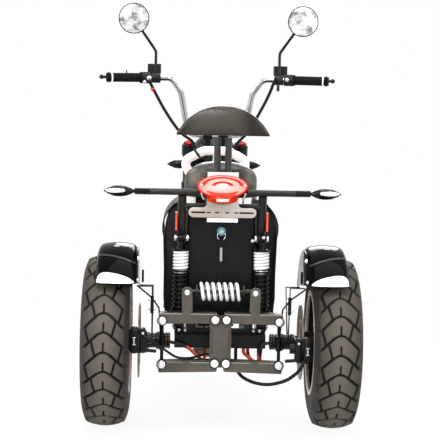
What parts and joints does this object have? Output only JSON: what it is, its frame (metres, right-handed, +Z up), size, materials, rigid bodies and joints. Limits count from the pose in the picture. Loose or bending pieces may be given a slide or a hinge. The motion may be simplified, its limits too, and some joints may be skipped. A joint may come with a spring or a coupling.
{
  "type": "three-wheeled electric scooter",
  "caption": "Chopper-style electric scooter with a steered front wheel, hub-motor rear wheels on a leaning linkage, a high handlebar, a solo saddle and a crescent backrest.",
  "frame": {"origin": "on the ground under the middle of the machine", "axes": "+Y forward, +X to the rider's right, +Z up"},
  "size_m": [0.8199, 1.78, 1.2995],
  "materials": {
    "tyre_rubber": "matt, moulded",
    "black_alloy": "black coated, satin",
    "disc_steel": "turned",
    "fork_black": "black, gloss",
    "red_anodised": "red anodised",
    "black_paint": "black, gloss",
    "chrome_bar": "polished",
    "grip_rubber": "ribbed",
    "control_black": "fine grain",
    "mirror_black": "moulded",
    "mirror_glass": "polished",
    "lamp_black": "moulded",
    "frame_white": "pearl white, gloss",
    "frame_grey": "dark grey powder coat",
    "floor_plastic": "ribbed",
    "box_black": "black, satin",
    "cover_black": "moulded",
    "lock_chrome": "polished",
    "reflector_orange": "prismatic",
    "lens_red": "moulded lens",
    "plate_steel": "brushed",
    "vinyl_black": "grained vinyl",
    "link_grey": "gunmetal powder coat",
    "zinc": "zinc plated",
    "spring_white": "white powder coat",
    "spring_black": "black powder coat",
    "carrier_black": "black, satin",
    "guard_black": "gloss black",
    "caliper_alloy": "cast, coated",
    "hose_black": "smooth",
    "lead_sleeve": "black and orange sleeve"
  },
  "bodies": {
    "frame": {"main_frame": "frame_white", "rear_frame": "frame_grey", "floor_board": "floor_plastic", "controller_box": "box_black", "leg_shield": "cover_black", "rear_box": "box_black", "battery_block": "box_black", "box_lock": "lock_chrome", "side_covers": "cover_black", "side_reflectors": "reflector_orange", "signal_bar": "frame_grey", "rear_signals": "lamp_black", "tail_lamp_shell": "lamp_black", "tail_lamp_lens": "lens_red", "plate_bracket": "plate_steel", "backrest_cushion": "vinyl_black", "swing_arm": "black_paint", "shocks": "fork_black", "white_springs": "spring_white", "black_springs": "spring_black", "centre_plate": "link_grey", "link_arms": "link_grey", "link_hardware": "zinc", "axle_carriers": "carrier_black", "rear_guards": "guard_black", "rear_calipers": "caliper_alloy", "brake_hoses": "hose_black", "motor_leads": "lead_sleeve"},
    "saddle": {"saddle_cushion": "vinyl_black", "saddle_base": "control_black"},
    "rear_wheel_left": {"rear_tyre_left": "tyre_rubber", "rear_rim_left": "black_alloy", "rear_disc_left": "disc_steel"},
    "rear_wheel_right": {"rear_tyre_right": "tyre_rubber", "rear_rim_right": "black_alloy", "rear_disc_right": "disc_steel"},
    "steering": {"fork": "fork_black", "fork_caps": "red_anodised", "front_guard": "guard_black", "front_caliper": "caliper_alloy", "handlebar": "chrome_bar", "bar_risers": "black_paint", "grips": "grip_rubber", "bar_controls": "control_black", "mirror_shells": "mirror_black", "mirror_panes": "mirror_glass", "headlamp": "lamp_black", "front_signals": "lamp_black", "bar_cables": "hose_black"},
    "front_wheel": {"front_tyre": "tyre_rubber", "front_rim": "black_alloy", "front_disc": "disc_steel"}
  },
  "joints": [
    {"name": "steering_turn", "type": "hinge", "parent": "frame", "child": "steering", "pos_m": [0, 0.3013, 0.827], "axis": [0, -0.454, 0.891], "range_deg": [-35, 35]},
    {"name": "front_wheel_spin", "type": "hinge", "parent": "steering", "child": "front_wheel", "pos_m": [0, 0.64, 0.25], "axis": [1, 0, 0], "continuous": true},
    {"name": "rear_wheel_left_spin", "type": "hinge", "parent": "frame", "child": "rear_wheel_left", "pos_m": [-0.331, -0.64, 0.25], "axis": [1, 0, 0], "continuous": true},
    {"name": "rear_wheel_right_spin", "type": "hinge", "parent": "frame", "child": "rear_wheel_right", "pos_m": [0.331, -0.64, 0.25], "axis": [1, 0, 0], "continuous": true},
    {"name": "saddle_flip", "type": "hinge", "parent": "frame", "child": "saddle", "pos_m": [0, -0.126, 0.657], "axis": [-1, 0, 0], "range_deg": [0, 75]}
  ]
}
